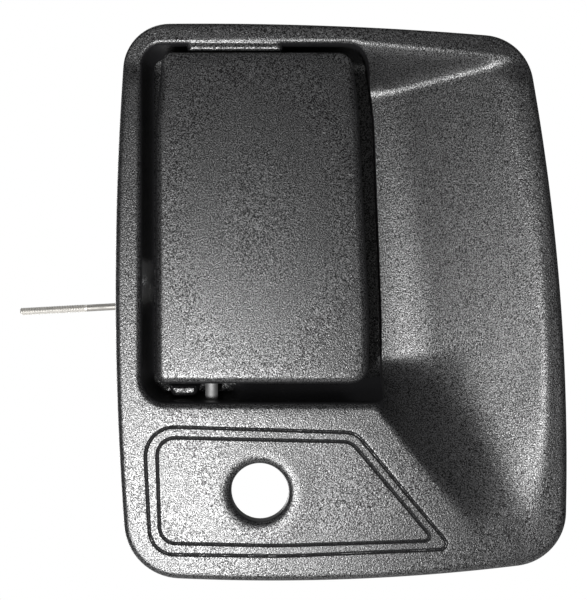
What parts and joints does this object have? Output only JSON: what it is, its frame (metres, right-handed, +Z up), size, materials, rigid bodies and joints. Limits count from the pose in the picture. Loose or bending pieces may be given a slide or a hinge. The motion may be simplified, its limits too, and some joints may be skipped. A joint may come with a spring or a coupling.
{
  "type": "car door handle",
  "caption": "Exterior door handle: textured black bezel with a finger scoop and lock hole, a sprung pull paddle on an upright hinge pin, and a lever behind it pulling a link rod.",
  "frame": {"origin": "where the lock bore's axis meets the door skin, the plane of the gasket's back face", "axes": "+X to the right seen from outside the door, +Z up, -Y outwards from the door along the lock bore's axis"},
  "size_m": [0.2082, 0.0522, 0.2069],
  "materials": {
    "textured_black_plastic": "moulded black with a fine sparkle grain, satin",
    "black_foam": "closed-cell foam, matte",
    "black_rubber": "moulded, matte",
    "zinc_plated_steel": "bright zinc plate",
    "pin_steel": "ground, satin",
    "spring_steel": "dark oiled wire",
    "black_nylon": "moulded, satin",
    "natural_nylon": "natural, slightly waxy",
    "die_cast_zinc": "as cast, dull",
    "rod_steel": "drawn wire, satin"
  },
  "bodies": {
    "housing": {"bezel": "textured_black_plastic", "gasket": "black_foam", "lock_seal": "black_foam", "mounting_studs": "zinc_plated_steel", "hinge_pin": "pin_steel", "hinge_pin_clip": "spring_steel", "bump_stops": "black_rubber", "lever_bracket": "zinc_plated_steel", "bracket_screws": "zinc_plated_steel", "lever_pin": "pin_steel", "lever_pin_clip": "spring_steel", "paddle_spring": "spring_steel", "lever_spring": "spring_steel"},
    "paddle": {"paddle_cover": "textured_black_plastic", "paddle_carrier": "die_cast_zinc", "carrier_screws": "zinc_plated_steel", "hinge_bushes": "black_nylon"},
    "lever": {"release_lever": "zinc_plated_steel", "lever_bush": "natural_nylon", "rod_clip": "natural_nylon"},
    "rod": {"link_rod": "rod_steel"}
  },
  "joints": [
    {"name": "paddle_hinge", "type": "hinge", "parent": "housing", "child": "paddle", "pos_m": [-0.0182, 0.002, 0.1], "axis": [0, 0, -1], "range_deg": [0, 30], "stiffness_Nm_per_rad": 0.6, "springref_deg": -28.65, "deforming": ["paddle_spring"]},
    {"name": "lever_pivot", "type": "hinge", "parent": "housing", "child": "lever", "pos_m": [-0.0182, 0.023, 0.076], "axis": [0, 0, -1], "range_deg": [0, 30], "deforming": ["lever_spring"]},
    {"name": "rod_pivot", "type": "hinge", "parent": "lever", "child": "rod", "pos_m": [-0.0182, 0.036, 0.0788], "axis": [0, 0, -1], "range_deg": [-30, 0]}
  ],
  "couplings": [
    {"joint": "lever_pivot", "follows": "paddle_hinge", "ratio": 1},
    {"joint": "rod_pivot", "follows": "paddle_hinge", "ratio": -1}
  ]
}
